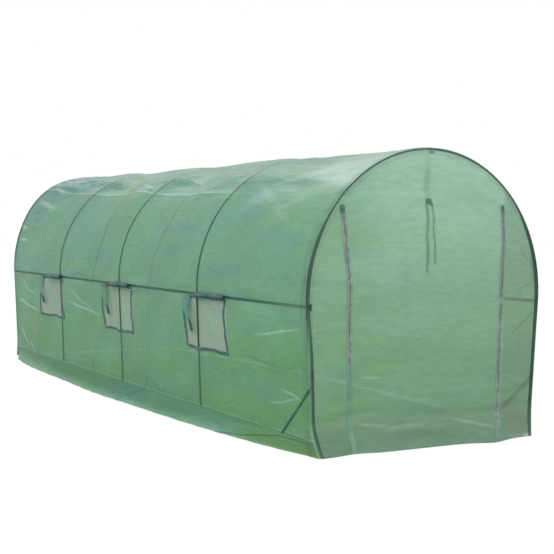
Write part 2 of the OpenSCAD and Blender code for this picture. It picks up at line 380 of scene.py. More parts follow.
def filmMaterial(name, onTubes, clear):
    material, add = newMaterial(name)
    isCover = onTubes == "cover"
    coords = add("TexCoord", out="Object")
    cloth = add("UVMap")
    # amounts that a sheet carries at its points
    shade, crumpled, tintHere = (add("Attribute", out="Fac", attribute_name=key)
                                 for key in ("paintedShading", "crumple", "tintShare"))
    # marks are drawn out along the way the film came off its roll
    drawn = add("VectorMath", (cloth, (1, 0.3, 1)) if isCover else (coords, (0.3, 1, 1)),
                operation="MULTIPLY")
    clouds = {}
    for key, (scale, detail, roughness, bend) in filmClouds.items():
        clouds[key] = add("TexNoise", {"Vector": drawn, "Scale": scale, "Detail": detail,
                                       "Roughness": roughness, "Distortion": bend})
    # each tint is a mask and the colour that it brings in
    tints = [(joined(add, [(clouds["patches"], 0.40, 0.66, 0.0, 0.8)]), film["yellower"]),
             (joined(add, [(clouds["bluePatches"], 0.50, 0.70, 0.0, 0.8)]), film["bluer"])]
    # painted green light of the grass, seen through the film low down, in patches
    if onTubes:
        uneven = joined(add, [(clouds["tintShare"], 0.36, 0.6, 0.45, 1.0)])
        tints.append((joined(add, [tintHere, uneven]), film["grassLight"]))
    # laid net, a darker thread each way, the fine streaks of the skins, and the painted shading a sheet
    # carries
    threads = [add("TexWave", {"Vector": cloth, "Scale": math.tau / 20 / film["yarn"], "Distortion": 0.6,
                               "Detail": 1.0}, "Fac", wave_type="BANDS",
                   bands_direction=axis) for axis in "XY"]
    net = joined(add, threads)
    dim = joined(add, [(net, 0, 1, 0.93, 1.05), (clouds["streaks"], 0.3, 0.7, 0.95, 1.05), shade])
    # crinkles, then sharp-edged crumples
    crinkleColour = clouds["crinkle"].node.outputs["Color"]
    bumpy = add("Bump", {"Height": clouds["crinkle"], "Distance": 0.02, "Strength": 0.35})
    fadedAndHighlit = []
    for scale, depth, width in filmCrumples:
        bent = add("VectorMath", (crinkleColour, (0.1, 0.1, 0.1), drawn), operation="MULTIPLY_ADD")
        cells, edges = (add("TexVoronoi", {"Vector": bent, "Scale": scale, "Randomness": 1.0},
                            "Distance", feature=f) for f in ("F1", "DISTANCE_TO_EDGE"))
        bumpy = add("Bump", {"Height": joined(add, [cells, crumpled]), "Distance": depth,
                             "Strength": 0.8, "Normal": bumpy})
        broken = add("TexNoise", {"Vector": drawn, "Scale": scale * 1.7, "Detail": 1.0,
                                  "Roughness": 0.55})
        broken = joined(add, [(broken, 0.46, 0.62)])
        edge = joined(add, [(edges, 0.0, width, 0.45 if isCover else 0.22, 0.0)])
        fadedAndHighlit.append(joined(add, [edge, broken, crumpled]))
    bumpy = add("Bump", {"Height": net, "Distance": 0.0006, "Strength": 0.4, "Normal": bumpy})
    clearShare = joined(add, [clear, (shade, 0.6, 0.92, 0.15, 1.0)])
    lines = []
    if isCover:
        place = add("SeparateXYZ", (cloth,), None).outputs
        row = place["Y"]
        girth = add("Math", (place["X"],), operation="ABSOLUTE")
        ends = add("Math", (rearRow, add("Math", (row,), operation="ABSOLUTE")), operation="SUBTRACT")
        # painted shade of the tubes: the film lies on each hoop, least at the ridge, and on the side and
        # bottom rails
        toHoop = add("Math", (add("Math", (row, frontRow), operation="SUBTRACT"), halfBay),
                     operation="PINGPONG")
        toHoop = joined(add, [toHoop, (row, -1.5, 2.5, 1.0, 0.68)])
        onWall = joined(add, [(row, -1.4, 1.2, 0.85, 1.0), (girth, roofLength + 0.02, roofLength)],
                        "MAXIMUM")
        weight = joined(add, [(girth, 0.12, 0.6, 0.3, 1.0), onWall,
                              (girth, wallLength - 0.01, wallLength, 1.0, 0.0), (ends, 0.02, 0.03)])
        lines.append(joined(add, [nearLine(add, toHoop, film["onHoop"]), weight]))
        for mark, atRear, atFront in ((roofLength, 0.95, 0.5), (wallLength, 0.35, 0.35)):
            onRail = nearLine(add, apart(add, girth, mark), film["onRail"])
            lines.append(joined(add, [onRail, (row, -3.0, -2.2, atFront, atRear)]))
        # painted shade of the end hoops, which the film wraps, and of the rear hoop over the roof
        shift = joined(add, [(girth, 1.25, 0.9, 0.0, 0.006)])
        endTube = joined(add, [(add("Math", (ends, shift), operation="ADD"), -0.005, -0.010, 0.0, 0.95),
                               (girth, roofLength, roofLength + 0.35, 1.0, 0.15)])
        rearTube = joined(add, [(row, rearRow - 0.055, rearRow - 0.045, 0.0, 0.85), (girth, 0.45, 0.8),
                                (girth, roofLength - 0.5, roofLength, 1.0, 0.3)])
        tints.append((joined(add, [(row, 0.8, 2.6), (girth, 1.25, 0.45, 0.0, 0.6)]), film["shaded"]))
        sewn = film["sleeve"]
        # the old fold that runs along the roof and the single creases, partly whitened and partly painted
        # highlight; the painted sheen over the ridge; a painted highlight over the front bay's roof
        wander = add("VectorMath", (crinkleColour, (0.05, 0.05, 0), (-0.025, -0.025, 0)),
                     operation="MULTIPLY_ADD")
        flat = add("CombineXYZ", (girth, row))
        wandering = add("VectorMath", (flat, wander), operation="ADD")
        bentGirth = add("SeparateXYZ", (wandering,), "X")
        fold = add("Math", (row, -cover["foldSlope"], cover["foldLine"]), operation="MULTIPLY_ADD")
        fold = (apart(add, girth, fold), 0.0, 0.014, 1.0, 0.0)
        edge = add("Math", (row, -0.21, 0.16), operation="MULTIPLY_ADD")
        edge = add("Math", (edge, bentGirth), operation="SUBTRACT")
        ridge = (bentGirth, 0.52, 0.10, 0.0, 0.25)
        fadedAndHighlit += [joined(add, [fold, (row, -1.9, -0.6, 0.0, 0.75)]),
                  joined(add, [ridge, (clouds["ridgeSheen"], 0.38, 0.66, 0.15, 1.0)]),
                  joined(add, [(edge, -0.03, 0.09, 0.0, 1.0), (row, -1.9, -2.5)])]
        for start, end, half, strength in coverCreases:
            fadedAndHighlit.append(joined(add, [markBetween(add, wandering, start, end, half), strength]))
        hemLine = nearLine(add, apart(add, bentGirth, wallLength - 0.012), 0.006)
        fadedAndHighlit.append(joined(add, [hemLine, 0.3]))
        marks = [markBetween(add, wandering, start, end, 0.009, False) for start, end in coverTies]
        marks.append(joined(add, [markBetween(add, wandering, *coverDent), 0.6]))
        marks.append(markBetween(add, wandering, *coverPinch))
        # the skirt is folded under near the door end, with painted shade along the fold; where it lies on
        # grass the grass's green light is painted through it
        onSkirt = add("CombineXYZ", (add("Math", (girth, wallLength), operation="SUBTRACT"), row))
        for start, end in zip(skirtTuck, skirtTuck[1:]):
            marks.append(markBetween(add, onSkirt, start, end, 0.012, False))
        grassLightOnSkirt = joined(add, [(row, -2.0, -2.5, 0.0, 0.6), (girth, wallLength + 0.05, wallLength + 0.12)])
        tints.append((grassLightOnSkirt, film["grassLightOnSkirt"]))
        # the seams bow forward over the roof, half a wave long from this girth
        bowStart, bowWave = 0.52, 2.856
        bow = add("Math", (girth, bowWave, -bowStart * bowWave), operation="MULTIPLY_ADD")
        bow = add("Math", (add("Math", (bow,), operation="SINE"), 0.0), operation="MAXIMUM")
        onRoof = joined(add, [(girth, roofLength, roofLength + 0.05, 1.0, 0.3), (girth, 0.5, 0.7)])
        for seamRow, forward in coverSeams:
            at = add("Math", (bow, -forward, seamRow), operation="MULTIPLY_ADD")
            marks.append(joined(add, [nearLine(add, apart(add, row, at), 0.009), onRoof]))
        shadow, darkest = joined(add, marks, "MAXIMUM"), 0.62
        lines.append(joined(add, [markBetween(add, flat, *onBrace), 0.92]))
    elif onTubes == "end":
        tints.append((0.25, film["milky"]))
        place = add("SeparateXYZ", (coords,), None).outputs
        across, height = place["X"], place["Z"]
        doorEnd = add("Math", (place["Y"], 0.0), operation="LESS_THAN")
        # distance inside the middle of the end hoop: from its circle or its leg, and near the ground from
        # the cloth's own edge
        aside = add("Math", (across,), operation="ABSOLUTE")
        below = add("Math", (add("Math", (sideRail.z, height), operation="SUBTRACT"), 0.0),
                    operation="MAXIMUM")
        aside = add("Math", (below, math.tan(lean), aside), operation="MULTIPLY_ADD")
        above = add("Math", (add("Math", (height, archCentre), operation="SUBTRACT"), 0.0),
                    operation="MAXIMUM")
        ends = add("VectorMath", (add("CombineXYZ", (aside, above)),), "Value", operation="LENGTH")
        ends = add("Math", (archRadius, ends), operation="SUBTRACT")
        toEdge = add("Math", (add("SeparateXYZ", (cloth,), "X"),), operation="ABSOLUTE")
        toEdge = add("Math", (1.0, toEdge), operation="SUBTRACT")
        toEdge = add("Math", (toEdge, abs(bottomRail.x)), operation="MULTIPLY")
        low = joined(add, [(height, 0.16, 0.24, 1.0, 0.0)])
        ends = add("Math", (add("Math", (toEdge, ends), operation="SUBTRACT"), low, ends),
                   operation="MULTIPLY_ADD")
        # the end hoop's painted shade reaches further in down the right side, least beside the top of the
        # arch
        right = joined(add, [(across, 0.70, 0.95, 0.0, 0.022), (height, 1.75, 1.45)])
        left = joined(add, [(across, -0.1, 0.1, 0.009, 0.005), (height, 1.3, 1.6)])
        clearOf = joined(add, [(across, -0.6, -0.8), (height, 1.05, 0.55)])
        reach = add("Math", (add("Math", (right, 0.0155), operation="ADD"), left), operation="SUBTRACT")
        # at the left leg the film's own corner stands clear of the tube
        reach = add("Math", (clearOf, 0.018, reach), operation="MULTIPLY_ADD")
        reach = add("Math", (ends, reach), operation="SUBTRACT")
        corner = joined(add, [clearOf, (ends, 0.012, 0.006, 0.0, 0.75)])
        corner = add("Math", (1.0, corner), operation="SUBTRACT")
        endTube = joined(add, [(reach, 0.0, -0.006, 0.0, 0.95), corner])
        sewn = film["seam"]
        # thinner, clearer and more scuffed where the door panel ends, towards the right leg
        thinned = joined(add, [(across, 0.62, 0.66, 0.0, 5.0)])
        thinned = add("Math", (doorEnd, thinned, 1.0), operation="MULTIPLY_ADD")
        clearShare = joined(add, [clearShare, thinned])
        scuffed = joined(add, [doorEnd, (across, 0.62, 0.66, 0.0, 0.5)])
        tints.append((scuffed, film["milky"]))
        flat = add("CombineXYZ", (across, height))
        for start, end, half, strength in endCreases:
            strength = joined(add, [doorEnd, strength])
            fadedAndHighlit.append(joined(add, [markBetween(add, flat, start, end, half), strength]))
        marks = [joined(add, [markBetween(add, flat, *mark), strength]) for *mark, strength in endTugs]
        shadow, darkest = joined(add, [joined(add, marks, "MAXIMUM"), doorEnd]), 0.5
        # painted light: the door end is drawn paler towards its top, most on its left
        fadedAndHighlit.append(joined(add, [(height, 0.5, 1.9, 0.05, 0.42), (across, -0.75, -0.3, 0.3, 1.0)]))
    tints.append((joined(add, fadedAndHighlit, "MAXIMUM"), film["fadedAndHighlit"]))
    if onTubes:
        mark, half = sewn
        dim = joined(add, [dim, (shadow, 0, 1, 1.0, darkest),
                           (apart(add, ends, mark), half * 0.6, half * 1.4, 0.8, 1.0),
                           (ends, mark - 0.002, mark, 0.95, 1.0)])
        tints.append((1.0, dim))
        # painted shade of the hoops, rails and corner brace, then of the end hoops and the rear hoop
        if isCover:
            tints.append((joined(add, [joined(add, lines, "MAXIMUM"), 0.9]), film["onTube"]))
        tints.append((endTube, film["onEndTube"]))
        if isCover:
            tints.append((rearTube, film["onRearTube"]))
    else:
        tints += [(tintHere, film["rolled"]), (1.0, dim)]
    colour = toLinear(film["plain"])
    for mask, tint in tints:
        ownColour = isinstance(tint, str)
        colour = add("Mix", {"Factor": mask, "A": colour, "B": toLinear(tint) if ownColour else tint},
                     "Result", data_type="RGBA", blend_type="MIX" if ownColour else "MULTIPLY")
    face = add("BsdfPrincipled", {"Base Color": colour, "Roughness": film["roughness"],
                                  "IOR": film["refraction"], "Normal": bumpy})
    glowing = add("BsdfTranslucent", {"Color": colour, "Normal": bumpy})
    body = add("MixShader", (film["through"], face, glowing))
    holes = add("BsdfTransparent", {"Color": toLinear(film["hole"])})
    add("OutputMaterial", {"Surface": add("MixShader", (clearShare, body, holes))}, None)
    return material


greenFilm = filmMaterial("greenhouse_film", "cover", film["clear"])
endFilm = filmMaterial("greenhouse_film_ends", "end", film["clear"])
rolledFilm = filmMaterial("rolled_film", None, 0.0)

netLook = {
    "threads": 36.0,         # waves to a metre; 1 mm mesh in the real one, coarser so it shows
    "colours": ("#a0bba8", "#b0b6af"),
    # painted shade of a leg behind the net
    "onLeg": "#2a4a3a",
    "legWidth": 0.017,       # half the width over which it lies on a leg
    "through": 0.4,
    "open": (0.3, 0.14),     # share that is holes, between threads and on them
}


# Insect netting, fine white monofilament, grey against the dark inside and drawn tight on the legs, with the
# legs' shade painted into it where it lies on them
def nettingMaterial():
    material, add = newMaterial("insect_netting")
    cloth = add("UVMap")
    coords = add("TexCoord", out="Object")
    threads = [add("TexWave", {"Vector": cloth, "Scale": netLook["threads"], "Distortion": 0.5,
                               "Detail": 1.0}, "Fac", wave_type="BANDS",
                   bands_direction=axis) for axis in "XY"]
    net = joined(add, threads, "MAXIMUM")
    drift = add("TexNoise", {"Vector": coords, "Scale": 9.0, "Detail": 3.0, "Roughness": 0.55})
    row = add("SeparateXYZ", (coords,), "Y")
    toHoop = add("Math", (add("Math", (row, frontRow), operation="SUBTRACT"), halfBay),
                 operation="PINGPONG")
    onLeg = nearLine(add, toHoop, netLook["legWidth"])
    colour, other = (toLinear(c) for c in netLook["colours"])
    for mask, tint in ((joined(add, [(drift, 0.4, 0.6)]), other), (onLeg, toLinear(netLook["onLeg"]))):
        colour = add("Mix", {"Factor": mask, "A": colour, "B": tint}, "Result", data_type="RGBA")
    bump = add("Bump", {"Height": net, "Distance": 0.0005, "Strength": 0.5})
    face = add("BsdfPrincipled", {"Base Color": colour, "Roughness": 0.6, "Normal": bump})
    body = add("MixShader", (netLook["through"], face, add("BsdfTranslucent", {"Color": colour})))
    holes = joined(add, [(net, 0, 1, *netLook["open"]), (onLeg, 0, 1, 1.0, 0.3)])
    add("OutputMaterial", {"Surface": add("MixShader", (holes, body, add("BsdfTransparent")))}, None)
    return material


# Woven tape, webbing and zip tape: fine twill, dull, a little uneven from sewing
def tapeMaterial(name, colour, shade, scale=380.0, roughness=0.75, sunkIn=0.0):
    material, add = newMaterial(name)
    coords = add("TexCoord", out="Object")
    weave = add("TexWave", {"Vector": coords, "Scale": scale, "Distortion": 0.8, "Detail": 1.0}, "Fac",
                wave_type="BANDS", bands_direction="DIAGONAL")
    wear = add("TexNoise", {"Vector": coords, "Scale": 26.0, "Detail": 4.0, "Roughness": 0.6})
    base = add("Mix", {"Factor": joined(add, [(wear, 0.35, 0.68)]), "A": toLinear(colour),
                       "B": toLinear(shade)}, "Result", data_type="RGBA")
    if sunkIn:
        # low down on the left the film has closed over the zip
        place = add("SeparateXYZ", (coords,), None).outputs
        closed = joined(add, [(place["Z"], 0.66, 0.40), (place["X"], 0.1, -0.1), sunkIn])
        base = add("Mix", {"Factor": closed, "A": base, "B": toLinear("#4f775d")}, "Result",
                   data_type="RGBA")
    bump = add("Bump", {"Height": weave, "Distance": 0.0005, "Strength": 0.5})
    face = add("BsdfPrincipled", {"Base Color": base, "Roughness": roughness, "Normal": bump})
    add("OutputMaterial", {"Surface": face}, None)
    return material


# Steel tube, powder coated dark green: a slight orange-peel skin, dusty and chalked in patches
def coatedSteel(name, colour, chalk, roughness):
    material, add = newMaterial(name)
    coords = add("TexCoord", out="Object")
    peel = add("TexNoise", {"Vector": coords, "Scale": 420.0, "Detail": 2.0})
    dust = add("TexNoise", {"Vector": coords, "Scale": 11.0, "Detail": 5.0, "Roughness": 0.65})
    base = add("Mix", {"Factor": add("MapRange", (dust, 0.4, 0.72)), "A": toLinear(colour),
                       "B": toLinear(chalk)}, "Result", data_type="RGBA")
    rough = add("MapRange", {"Value": dust, "To Min": roughness - 0.1, "To Max": roughness + 0.12})
    bump = add("Bump", {"Height": peel, "Distance": 0.0003, "Strength": 0.4})
    face = add("BsdfPrincipled", {"Base Color": base, "Roughness": rough, "Normal": bump})
    add("OutputMaterial", {"Surface": face}, None)
    return material


netting = nettingMaterial()
windowTape = tapeMaterial("hook_and_loop_tape", "#2c474c", "#4b6669")
zipTape = tapeMaterial("knitted_zip_tape", "#566b61", "#75817d", sunkIn=0.85)
zipCoil = tapeMaterial("nylon_zip_coil", "#3a4842", "#56635d", 600.0, 0.5, 0.85)
patchCloth = tapeMaterial("woven_patch_cloth", "#264d3b", "#35604a", 500.0)
paleRibbon = tapeMaterial("faded_ribbon", "#4d7a63", "#5b876f", 500.0)
ribbonCloth = tapeMaterial("webbing_ribbon", "#3c6a52", "#6b9a80", 500.0)
tubeSteel = coatedSteel("powder_coated_tube", "#40564a", "#5d7064", 0.45)
strapSteel = coatedSteel("powder_coated_strap", "#333d36", "#4a554d", 0.5)
boltSteel = coatedSteel("blackened_bolt", "#17191a", "#2b2e2f", 0.42)
for nodeName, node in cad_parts.items():
    isTube = nodeName.startswith(("hoop", "ridge_rail", "side_rail", "bottom_rail", "corner"))
    for i in range(len(node.material_slots)):
        node.material_slots[i].material = tubeSteel if isTube else strapSteel
print("materials made")

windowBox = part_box("window_nets_left")
windowWide = 0.62
windowPitch = (windowBox[1].y - windowBox[0].y - windowWide) / 2
windowRows = [windowBox[0].y + windowWide / 2 + i * windowPitch for i in range(3)]
windowLow = windowBox[0].z
windowHigh = windowBox[1].z


def smooth(low, high, value):
    t = np.clip((value - low) / (high - low), 0, 1)
    return t * t * (3 - 2 * t)


# Even steps between each pair of stations, so that a line of the mesh falls on every one of them
def stations(marks, step):
    rows = [marks[0]]
    for a, b in zip(marks, marks[1:]):
        count = max(1, round((b - a) / step))
        rows += [a + (b - a) * (i + 1) / count for i in range(count)]
    return rows


# A sheet starts as a primitive grid with a column for each of across and a row for each of along.
# place moves its points to where the cloth hangs, and the UV map holds the cloth's own metres.
def sewSheet(name, across, along, place, cutOuts=(), paintedShading=None, crumple=None, tintShare=None):
    deselectAll()
    bpy.ops.mesh.primitive_grid_add(x_subdivisions=len(across) - 1, y_subdivisions=len(along) - 1, size=2)
    piece = nameIt(bpy.context.object, name)
    mesh = piece.data
    points = np.empty(len(mesh.vertices) * 3)
    mesh.vertices.foreach_get("co", points)
    points = points.reshape(-1, 3)
    column = np.rint((points[:, 0] + 1) / 2 * (len(across) - 1)).astype(int)
    row = np.rint((points[:, 1] + 1) / 2 * (len(along) - 1)).astype(int)
    u, v = np.array(across)[column], np.array(along)[row]
    mesh.vertices.foreach_set("co", np.ascontiguousarray(place(u, v)).ravel())
    corner = np.empty(len(mesh.loops), int)
    mesh.loops.foreach_get("vertex_index", corner)
    mesh.uv_layers.active.data.foreach_set("uv", np.stack([u[corner], v[corner]], 1).ravel())
    for key, amount in (("paintedShading", paintedShading), ("crumple", crumple), ("tintShare", tintShare)):
        if amount:
            layer = mesh.attributes.new(key, "FLOAT", "POINT")
            layer.data.foreach_set("value", amount(u, v).astype(np.float32))
    if cutOuts:
        uv = np.array([[u[list(p.vertices)].mean(), v[list(p.vertices)].mean()] for p in mesh.polygons])
        gone = np.zeros(len(uv), bool)
        for low, high, near, far in cutOuts:
            gone |= (uv[:, 0] > low) & (uv[:, 0] < high) & (uv[:, 1] > near) & (uv[:, 1] < far)
        bpy.ops.object.mode_set(mode="EDIT")
        bpy.ops.mesh.select_mode(type="FACE")
        bpy.ops.mesh.select_all(action="DESELECT")
        bpy.ops.object.mode_set(mode="OBJECT")
        mesh.polygons.foreach_set("select", gone)
        bpy.ops.object.mode_set(mode="EDIT")
        bpy.ops.mesh.delete(type="FACE")
        bpy.ops.object.mode_set(mode="OBJECT")
    mesh.update()
    return piece


def edgeAcross(z):
    onArc = np.sqrt(np.maximum(0, archRadius ** 2 - (z - archCentre) ** 2))
    onLeg = abs(sideRail.x) - (sideRail.z - z) * math.tan(lean)
    return np.where(z < sideRail.z, onLeg, np.where(z < archCentre, onArc, archRadius))


# The share of its flare that an end sheet has reached at this height
def footOut(z):
    return np.clip((0.2 - z) / 0.2, 0, 1) ** 1.4


# How far the hem stands out from the bottom rail along a long side; it stays full towards the back
def hemFlare(y):
    t = np.clip(y / rearRow, -1, 1)
    full = 1 - np.abs(t) ** np.where(t < 0, 2.6, 4.6)
    return 0.012 + (cover["flare"] - 0.012) * full + 0.032 * np.exp(-((y - 0.1) / 0.6) ** 2)


# How far the hem stands out in front of the door end, with a fold blown in and one blown out
def frontFlare(x):
    folds = 0.06 * np.exp(-((x - 0.46) / 0.17) ** 2) - 0.035 * np.exp(-((x + 0.65) / 0.14) ** 2)
    return 0.125 + 0.03 * x + folds - 0.03 * smooth(0.6, 0.94, x)


# How far the film stands off its circle at the rear end's left shoulder
def shoulder(g, y):
    return cover["slack"] * np.exp(-((g + 0.6) / 0.5) ** 2) * smooth(0.0, -0.3, g) * smooth(1.2, 2.95, y)


def rearFlare(x):
    return 0.02 + 0.11 * np.cos(np.pi / 2 * np.clip(x, -1, 1)) + 0.02 * np.sin(5 * x)


# Creases: each one is a soft ridge from a start point, in cloth metres, fading out along its length
def creaseField(g, y, creases):
    total = np.zeros_like(g)
    for g0, y0, angle, length, width, height in creases:
        dg, dy = g - g0, y - y0
        along = dg * math.cos(angle) + dy * math.sin(angle)
        aside = dy * math.cos(angle) - dg * math.sin(angle)
        t = np.clip(along / length, 0, 1)
        live = (along > 0) & (along < length) & (np.abs(aside) < 4 * width)
        wide = width * (0.5 + t)
        shape = np.exp(-(aside / wide) ** 2) * np.sin(np.pi * np.minimum(1, t * 1.3 + 0.05)) ** 0.7
        total += np.where(live & (t < 0.73), height * shape, 0)
    return total


rng = np.random.default_rng(cover["seed"])
pullCreases = []
for side in (-1, 1):
    for row in hoopRows:
        # where the film is pulled over a joint: the ridge, the side rail and the bottom rail
        for girth, fan, count, reach in ((0.02, 1.2, 9, 0.75), (roofLength, 1.0, 7, 0.5),
                                         (wallLength, 1.2, 6, 0.4)):
            for i in range(count):
                towards = rng.choice((-1, 1))
                angle = towards * (math.pi / 2 - rng.uniform(0.0, fan))
                if girth > 1 and rng.random() < 0.6:
                    angle += math.pi
                length = reach * rng.uniform(0.5, 1.3)
                width = rng.uniform(0.008, 0.022)
                height = rng.choice((-1, 1)) * rng.uniform(0.002, 0.006)
                pullCreases.append((side, girth, row, angle, length, width, height))
# short hard creases over the top of the roof
for side in (-1, 1):
    for i in range(cover["pulls"]):
        girth = rng.uniform(0.06, cover["foldLine"] - 0.03)
        row = rng.uniform(frontRow + 0.1, rearRow - 0.1)
        angle = math.pi / 2 + rng.normal(0, 0.55)
        pullCreases.append((side, girth, row, angle, rng.uniform(0.15, 0.5), rng.uniform(0.009, 0.016),
                            rng.choice((-1, 1)) * rng.uniform(0.002, 0.0055)))
ripples = [(rng.uniform(0, math.tau), rng.uniform(3, 16), rng.uniform(0, math.tau)) for i in range(14)]


def rippleField(g, y):
    total = np.zeros_like(g)
    for heading, wave, phase in ripples:
        total += np.sin((g * math.cos(heading) + y * math.sin(heading)) * wave + phase) / wave
    return total


# A point of the long cover: g is the girth from the ridge, negative on the left, y the place along the
# tunnel, lift how far outside the film it lies. Past the end hoops the film rolls round the tube.
def coverPoint(g, y, lift=0.0):
    g = np.asarray(g, float)
    y = np.asarray(y, float)
    side = np.where(g < 0, -1.0, 1.0)
    s = np.abs(g)
    # outside direction and place of the film on a hoop
    angle = np.where(s < roofLength, math.pi / 2 - s / filmRadius, -lean)
    nx, nz = np.cos(angle), np.sin(angle)
    fall = np.clip(s - roofLength, 0, sideLength)
    standing = filmRadius + shoulder(g, y)
    px = standing * nx - fall * math.sin(lean)
    pz = archCentre + standing * nz - fall * math.cos(lean)
    # sag between the hoops, most half way between two rails
    inside = np.clip(y, frontRow, rearRow)
    bay = np.clip(np.searchsorted(hoopRows, inside, side="right") - 1, 0, len(hoopRows) - 2)
    near = np.array(hoopRows)[bay]
    far = np.array(hoopRows)[bay + 1]
    t = (inside - near) / (far - near)
    held = 4 * t * (1 - t)
    onRoof = np.sin(np.pi * np.clip(s - 0.012, 0, 9) / roofLength)
    sagRoof = np.where(s < roofLength, onRoof, 0) * cover["roofSag"]
    onSide = np.sin(np.pi * (s - roofLength) / sideLength)
    sagSide = np.where((s > roofLength) & (s < wallLength), onSide, 0) * cover["sideSag"]
    loose = np.minimum(1, 5 * t * (1 - t) * 2)
    railHold = smooth(0.008, 0.07, np.abs(s - roofLength)) * smooth(0.012, 0.09, s)
    railHold = railHold * smooth(0.0, 0.35, np.abs(s - wallLength))
    creases = np.zeros_like(s)
    for which in (-1, 1):
        mine = side == which
        creases[mine] = creaseField(s[mine], y[mine], [c[1:] for c in pullCreases if c[0] == which])
    # the old fold: a fine ridge with the film hollow above it
    fold = cover["foldLine"] - cover["foldSlope"] * y
    foldRidge = 0.005 * np.exp(-((s - fold) / 0.014) ** 2)
    hollow = -0.012 * np.exp(-((s - fold + 0.14) / 0.09) ** 2)
    creases = creases + (foldRidge + hollow) * smooth(frontRow + 0.9, frontRow + 1.7, y)
    crown = cover["crown"] * np.exp(-(s / 0.22) ** 2) * smooth(-1.8, -1.2, y)
    wrinkles = (creases + rippleField(g, y) * 0.035 * np.sqrt(held)) * loose * railHold
    depth = (crown - sagRoof - sagSide) * held + wrinkles
    # the skirt, from the bottom rail out to the hem
    down = np.clip((s - wallLength) / skirtLength, 0, 1)
    out = hemFlare(y)
    flutes = (np.sin(y * 21 + 2 * np.sin(y * 3)) + 0.6 * np.sin(y * 47 + g)) * 0.003 * down
    skirtX = out * down ** 1.15 + flutes
    skirtZ = (bottomRail.z - 0.0005) * (1 - down) ** 0.9
    onSkirt = s > wallLength
    depth = np.where(onSkirt, 0, depth) + lift
    slope = np.sqrt(out ** 2 + bottomRail.z ** 2)
    nx = np.where(onSkirt, nx * (1 - down) + down * bottomRail.z / slope, nx)
    nz = np.where(onSkirt, nz * (1 - down) + down * out / slope, nz)
    x = px + depth * nx + np.where(onSkirt, skirtX, 0)
    z = pz + depth * nz
    z = np.where(onSkirt, skirtZ + 0.004 + depth * nz, z)
    # round the end hoops, and out at the bottom corners to meet the end sheets
    past = np.clip((frontRow - y) / wrapLength, 0, 1) + np.clip((y - rearRow) / wrapLength, 0, 1)
    end = np.where(y < 0, -1.0, 1.0)
    turn = past * math.pi / 2
    reach = filmOut + lift
    x = x - reach * nx * (1 - np.cos(turn))
    z = z - reach * nz * (1 - np.cos(turn)) * np.where(onSkirt, 0, 1)
    along = np.clip(y, frontRow, rearRow) + end * reach * np.sin(turn)
    closing = 1 - smooth(0, 0.4, np.where(y < 0, y - frontRow, rearRow - y))
    corner = closing ** 2
    toLeg = edgeAcross(z) + reach * nx * np.cos(turn)
    x = np.where(onSkirt, x * (1 - corner) + toLeg * corner, x)
    cornerOut = np.where(y < 0, frontFlare(side * edgeAcross(0.05)), rearFlare(side * edgeAcross(0.05)))
    along = along + end * cornerOut * footOut(z) * closing
    x = x - np.where((side > 0) & (y < 0), cover["tuck"] * footOut(z) * closing, 0)
    return np.stack([side * x, along, np.maximum(z, 0.003)], -1)


windowSpans = []
for side in (-1, 1):
    for row in windowRows:
        windowSpans.append((side, wallGirth(windowHigh), wallGirth(windowLow), row - windowWide / 2,
                            row + windowWide / 2))
girthMarks = [0.0, roofLength, windowSpans[0][1], windowSpans[0][2], wallLength, halfGirth]
rightSide = stations(girthMarks, cover["step"])
acrossCover = [-g for g in reversed(rightSide[1:])] + rightSide
rowMarks = sorted(set([frontRow, rearRow] + hoopRows[1:-1]
                      + [round(e, 4) for w in windowSpans[:3] for e in w[3:]]))
alongCover = stations(rowMarks, cover["step"])
wrapRows = [wrapLength * (i + 1) / 4 for i in range(4)]
alongCover = [frontRow - w for w in reversed(wrapRows)] + alongCover + [rearRow + w for w in wrapRows]
cutOuts = [(min(s * a, s * b), max(s * a, s * b), near, far) for s, a, b, near, far in windowSpans]


# Painted shading: the cover is drawn darker towards the ground, most of all on its skirts and the rear
# skirts, and a little lighter just below the side rail near the door
def coverPaintedShading(g, y):
    down = np.abs(g) - roofLength
    wall = np.interp(down, [-1.5, -1.1, -0.8, 0.0, 0.02, 0.4, sideLength, sideLength + 0.02,
                            sideLength + skirtLength],
                     [0.90, 0.93, 0.98, 1.0, 1.05, 1.02, 0.98, 0.84, 0.80])
    nearDoor = 0.06 * smooth(-1.3, -2.6, y) * smooth(0.35, 0.05, np.abs(down - 0.1))
    rearSkirt = 0.12 * smooth(0.8, 2.8, y) * smooth(sideLength, sideLength + 0.03, down)
    return wall * (1 + 0.03 * np.sin(y * 5 + g * 3) + nearDoor - rearSkirt)


# Below the side rail the green light of the grass, seen through the film, is painted into it, most near the
# door end
def coverGrassLight(g, y):
    down = np.abs(g) - roofLength
    wall = np.interp(down, [0.0, 0.015, 0.4, sideLength, sideLength + 0.02, sideLength + skirtLength],
                     [0.0, 0.2, 0.7, 0.85, 0.3, 0.25])
    skirt = down > sideLength
    return np.clip(wall + np.where(skirt, 0.5, 0.1) * smooth(-1.2, -2.6, y), 0, 1)


# The top of the roof, which was folded in its bag, is the most crumpled, then the skirts
def coverCrumple(g, y):
    s = np.abs(g)
    top = 1 - smooth(0.5, cover["foldLine"] + 0.02, s)
    low = smooth(sideLength * 0.6, sideLength + skirtLength, s - roofLength)
    rear = smooth(1.2, 2.9, y) * smooth(roofLength * 1.3, roofLength * 0.7, s)
    return 0.12 + 0.7 * top + 0.2 * low + 0.45 * rear


tunnelCover = sewSheet("tunnel_cover", acrossCover, alongCover, coverPoint, cutOuts, coverPaintedShading,
                       coverCrumple, coverGrassLight)
finishPiece(tunnelCover, greenFilm)
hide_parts(*[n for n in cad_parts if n.startswith(("roof_cover", "side_cover"))],
            "skirt_left", "skirt_right")
print("long cover sewn:", len(tunnelCover.data.polygons), "faces")


endSheet = {"columns": 110, "rows": 56, "belly": 0.018}
endWaves = [(rng.uniform(-0.5, 0.5), rng.uniform(4, 18), rng.uniform(0, math.tau)) for i in range(10)]


